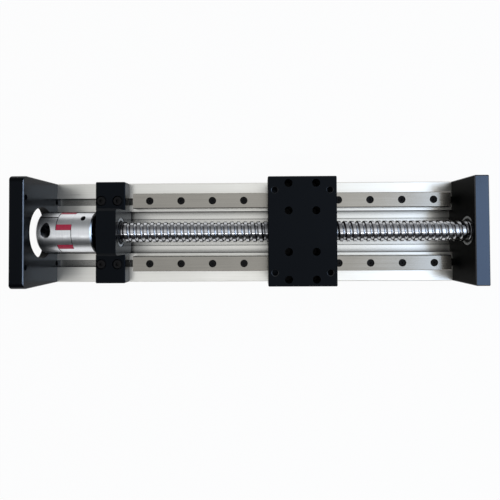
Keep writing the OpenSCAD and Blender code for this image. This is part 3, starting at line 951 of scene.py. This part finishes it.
@dataclass
class Carriage:
    """Carriage block with its nut, rail blocks and screws.

    Attributes:
        frame: The loaded frame.
        edge_mm: Width of the rounded edges.
        corner_spacing: Distances between the tapped corner holes, along X and along Y.
        rim_r: Radius within which a countersink lies.
        rim_lean: Least part of a countersink's normal along Z.
    """

    frame: dict
    edge_mm: float = 0.15
    corner_spacing: tuple[float, float] = (40 * MM, 60 * MM)
    rim_r: float = 2.9 * MM
    rim_lean: float = 0.2

    def rims(self) -> FaceTest:
        """Makes the test for the countersinks of the tapped corner holes.

        Returns:
            The test on a face.
        """
        low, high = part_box("carriage_body")
        middle = (low + high) / 2

        def is_rim(face: bmesh.types.BMFace) -> bool:
            """Tells whether a face is such a countersink.

            Args:
                face: Face of the carriage block.

            Returns:
                Whether it leans and lies close to a corner hole.
            """
            centre = face.calc_center_median()
            along = abs(centre.x - middle.x) - self.corner_spacing[0] / 2
            across = abs(centre.y - middle.y) - self.corner_spacing[1] / 2
            leans = self.rim_lean < face.normal.z < SQUARE
            return leans and math.hypot(along, across) < self.rim_r

        return is_rim

    def build(self) -> None:
        """Makes the block with bright hole rims and dresses all that slides with it."""
        block = softened_copy(self.frame, "carriage_body", "carriage_block", self.edge_mm)
        hand_over(block, BLACK_ANODISED, "carriage", "black_anodised", "carriage_body")
        refinish(block, CUT_CHAMFER, self.rims())
        dress(self.frame, GROUND_BLOCK, "ball_nut", "rail_block_front", "rail_block_back")
        dress(self.frame, MOULDED_NYLON, "nut_wipers", "block_end_caps_front", "block_end_caps_back")
        dress(self.frame, NITRILE, "block_end_seals_front", "block_end_seals_back")
        dress(self.frame, BLACK_OXIDE, "nut_set_screws", "block_screws")
        dress(self.frame, BRASS, "grease_nipples")


# ---- Studio ----


@dataclass(frozen=True)
class Softbox:
    """An area lamp that faces the module.

    Attributes:
        name: Name of the lamp.
        place: Where it stands, in metres.
        size: Its level side and its other side, in metres.
        watts: Power.
        tint: Colour of its light as sRGB hex.
    """

    name: str
    place: tuple[float, float, float]
    size: tuple[float, float]
    watts: float
    tint: str


@dataclass(frozen=True)
class Fade:
    """How the light of the room changes with the direction.

    Attributes:
        axis: Axis of the direction, as "X", "Y" or "Z".
        span: Parts of the direction along the axis at which the change starts and ends.
        light: Light at the start and at the end.
    """

    axis: str
    span: tuple[float, float]
    light: tuple[float, float]


@dataclass
class Studio:
    """Camera, pale floor, soft light and world.

    Attributes:
        camera_place: Where the camera stands.
        camera_turn: Its turns about X, Y and Z, in radians.
        lens_mm: Focal length.
        sensor_mm: Width of the sensor.
        nearest: Distance from which the camera sees.
        shift: Shift of the lens, in widths of the sensor.
        lamp_aim: Place that the softboxes face.
        softboxes: The lamps.
        floor_size: Side of the floor.
        floor_gap: Distance of the floor under the base.
        floor_colour: Colour of the paper as sRGB hex.
        floor_glow: Share of white that the floor shows by itself, so that it isn't grey.
        fades: Changes of the room's light, which are multiplied.
        room_tint: Colour of the room as sRGB hex.
        daylight_tint: Colour of the room past the end plate as sRGB hex.
        daylight_span: Parts of the direction along X between which one turns into the other.
    """

    camera_place: tuple[float, float, float] = (4.47 * MM, -3.65 * MM, 390 * MM)
    camera_turn: tuple[float, float, float] = (0.02074, 0.01464, -0.00507)
    lens_mm: float = 32.84
    sensor_mm: float = 36.0
    nearest: float = 10 * MM
    shift: tuple[float, float] = (-0.0047, -0.0461)
    lamp_aim: tuple[float, float, float] = (0.0, 0.0, 30 * MM)
    softboxes: tuple[Softbox, ...] = (
        Softbox("window", (0.93, -0.1, 1.5), (0.8, 0.5), 3.1, "#B4CEF0"),
        Softbox("ceiling_strip", (0.0, -0.6, 1.5), (1.6, 0.1), 3.2, "#FFFFFF"),
        Softbox("window_sill", (1.35, 0.0, 0.66), (1.2, 0.15), 4.0, "#BCD4F2"),
    )
    floor_size: float = 6.0
    floor_gap: float = 0.2 * MM
    floor_colour: str = "#F4F4F4"
    floor_glow: float = 0.94
    fades: tuple[Fade, ...] = (
        Fade("X", (-0.9, 0.35), (0.3, 1.4)),
        Fade("Y", (-0.7, 0.08), (0.05, 1.22)),
        Fade("Y", (0.12, 0.6), (1.0, 0.25)),
        Fade("Z", (0.955, 0.995), (1.0, 0.9)),
    )
    room_tint: str = "#F6F7F8"
    daylight_tint: str = "#B7CDE9"
    daylight_span: tuple[float, float] = (0.25, 0.8)

    def camera(self) -> None:
        """Places the camera above the module, looking down."""
        data = bpy.data.cameras.new("overhead_camera")
        data.lens = self.lens_mm
        data.sensor_width = self.sensor_mm
        data.shift_x, data.shift_y = self.shift
        data.clip_start = self.nearest
        camera = bpy.data.objects.new("overhead_camera", data)
        camera.location = self.camera_place
        camera.rotation_euler = self.camera_turn
        bpy.context.scene.collection.objects.link(camera)
        bpy.context.scene.camera = camera

    def hang(self, box: Softbox) -> None:
        """Adds a softbox and turns it to the module.

        Args:
            box: The softbox.
        """
        data = bpy.data.lights.new(box.name, "AREA")
        data.shape = "RECTANGLE"
        data.size, data.size_y = box.size
        data.energy = box.watts
        data.color = srgb(box.tint)[:3]
        lamp = bpy.data.objects.new(box.name, data)
        lamp.location = box.place
        towards = Vector(self.lamp_aim) - Vector(box.place)
        lamp.rotation_euler = towards.to_track_quat("-Z", "Y").to_euler()
        bpy.context.scene.collection.objects.link(lamp)

    def floor(self) -> None:
        """Lays a pale floor that looks nearly white and keeps a faint shadow."""
        clear_selection()
        bpy.ops.mesh.primitive_plane_add(size=self.floor_size, location=(0, 0, -self.floor_gap))
        floor = bpy.context.object
        floor.name = "studio_floor"
        material = bpy.data.materials.new("white_paper")
        material.use_nodes = True
        tree = material.node_tree
        tree.nodes.clear()
        rays = add_node(tree, "ShaderNodeLightPath")
        seen = rays.outputs["Is Camera Ray"]
        for kind in ("Is Glossy Ray", "Is Transmission Ray"):
            seen = add_node(
                tree, "ShaderNodeMath", {"operation": "MAXIMUM"}, {0: seen, 1: rays.outputs[kind]}
            ).outputs[0]
        share = add_node(
            tree, "ShaderNodeMath", {"operation": "MULTIPLY"}, {0: seen, 1: self.floor_glow}
        )
        paper = add_node(tree, "ShaderNodeBsdfDiffuse", links={"Color": srgb(self.floor_colour)})
        glow = add_node(tree, "ShaderNodeEmission", links={"Color": (1, 1, 1, 1), "Strength": 1.0})
        both = add_node(
            tree,
            "ShaderNodeMixShader",
            links={0: share.outputs[0], 1: paper.outputs[0], 2: glow.outputs[0]},
        )
        add_node(tree, "ShaderNodeOutputMaterial", links={"Surface": both.outputs[0]})
        floor.data.materials.append(material)

    def world(self) -> None:
        """Makes a soft room, brightest overhead and past the end plate, darker before and behind."""
        world = bpy.data.worlds.new("studio_room")
        bpy.context.scene.world = world
        world.use_nodes = True
        tree = world.node_tree
        tree.nodes.clear()
        place = add_node(tree, "ShaderNodeTexCoord")
        axes = add_node(tree, "ShaderNodeSeparateXYZ", links={0: place.outputs["Generated"]})
        light: float | bpy.types.NodeSocket = 1.0
        for fade in self.fades:
            level = add_node(
                tree,
                "ShaderNodeMapRange",
                links={
                    "Value": axes.outputs[fade.axis],
                    "From Min": fade.span[0],
                    "From Max": fade.span[1],
                    "To Min": fade.light[0],
                    "To Max": fade.light[1],
                },
            )
            light = add_node(
                tree, "ShaderNodeMath", {"operation": "MULTIPLY"}, {0: light, 1: level.outputs[0]}
            ).outputs[0]
        daylight = add_node(
            tree,
            "ShaderNodeMapRange",
            links={
                "Value": axes.outputs["X"],
                "From Min": self.daylight_span[0],
                "From Max": self.daylight_span[1],
            },
        )
        tint = add_node(
            tree,
            "ShaderNodeMix",
            {"data_type": "RGBA"},
            {0: daylight.outputs[0], 6: srgb(self.room_tint), 7: srgb(self.daylight_tint)},
        )
        room = add_node(
            tree, "ShaderNodeBackground", links={"Color": tint.outputs[2], "Strength": light}
        )
        add_node(tree, "ShaderNodeOutputWorld", links={"Surface": room.outputs[0]})

    def build(self) -> None:
        """Sets up the whole studio."""
        scene = bpy.context.scene
        scene.view_settings.view_transform = "Standard"
        self.camera()
        self.floor()
        self.world()
        for box in self.softboxes:
            self.hang(box)


def main() -> None:
    """Loads the frame, dresses it and hands it over."""
    logging.basicConfig(level=logging.INFO, format="%(name)s: %(message)s")
    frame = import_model()
    Studio().build()
    BaseAndPlates(frame).build()
    Rails(frame).build()
    Bearings(frame).build()
    BallScrew().build()
    JawCoupling(frame).build()
    Carriage(frame).build()


if __name__ == "__main__":
    main()
